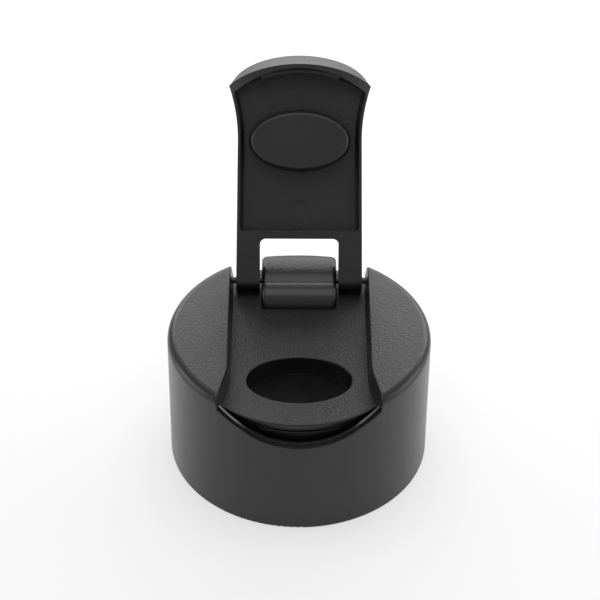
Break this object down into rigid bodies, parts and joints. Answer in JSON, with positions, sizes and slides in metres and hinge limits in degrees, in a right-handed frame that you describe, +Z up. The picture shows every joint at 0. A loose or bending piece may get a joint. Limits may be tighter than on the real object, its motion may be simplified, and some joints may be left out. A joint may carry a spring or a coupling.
{
  "type": "flip-top drinking cap",
  "caption": "Round screw-on drinking cap with a waisted hinged lid, a thumb lip and an oval stopper over an oval opening.",
  "frame": {"origin": "centre of the neck bore's mouth in the base plane", "axes": "+Z up along the cap's axis, the drinking side faces -Y, the hinge is at +Y and its pin lies along X"},
  "size_m": [0.068, 0.0941, 0.0863],
  "materials": {
    "shell_plastic": "fine satin grain on top, smooth satin side",
    "cap_plastic": "fine grained satin",
    "seal_rubber": "soft matt silicone",
    "pin_steel": "black oxide satin",
    "lid_plastic": "satin, grained underside",
    "plug_rubber": "smooth matt silicone"
  },
  "bodies": {
    "cap": {"outer_shell": "shell_plastic", "inner_cap": "cap_plastic", "neck_seal": "seal_rubber", "hinge_pin": "pin_steel"},
    "lid": {"flip_lid": "lid_plastic", "lid_plug": "plug_rubber"}
  },
  "joints": [
    {"name": "lid_hinge", "type": "hinge", "parent": "cap", "child": "lid", "pos_m": [0, 0.0241, 0.0352], "axis": [1, 0, 0], "range_deg": [0, 124.5]}
  ]
}
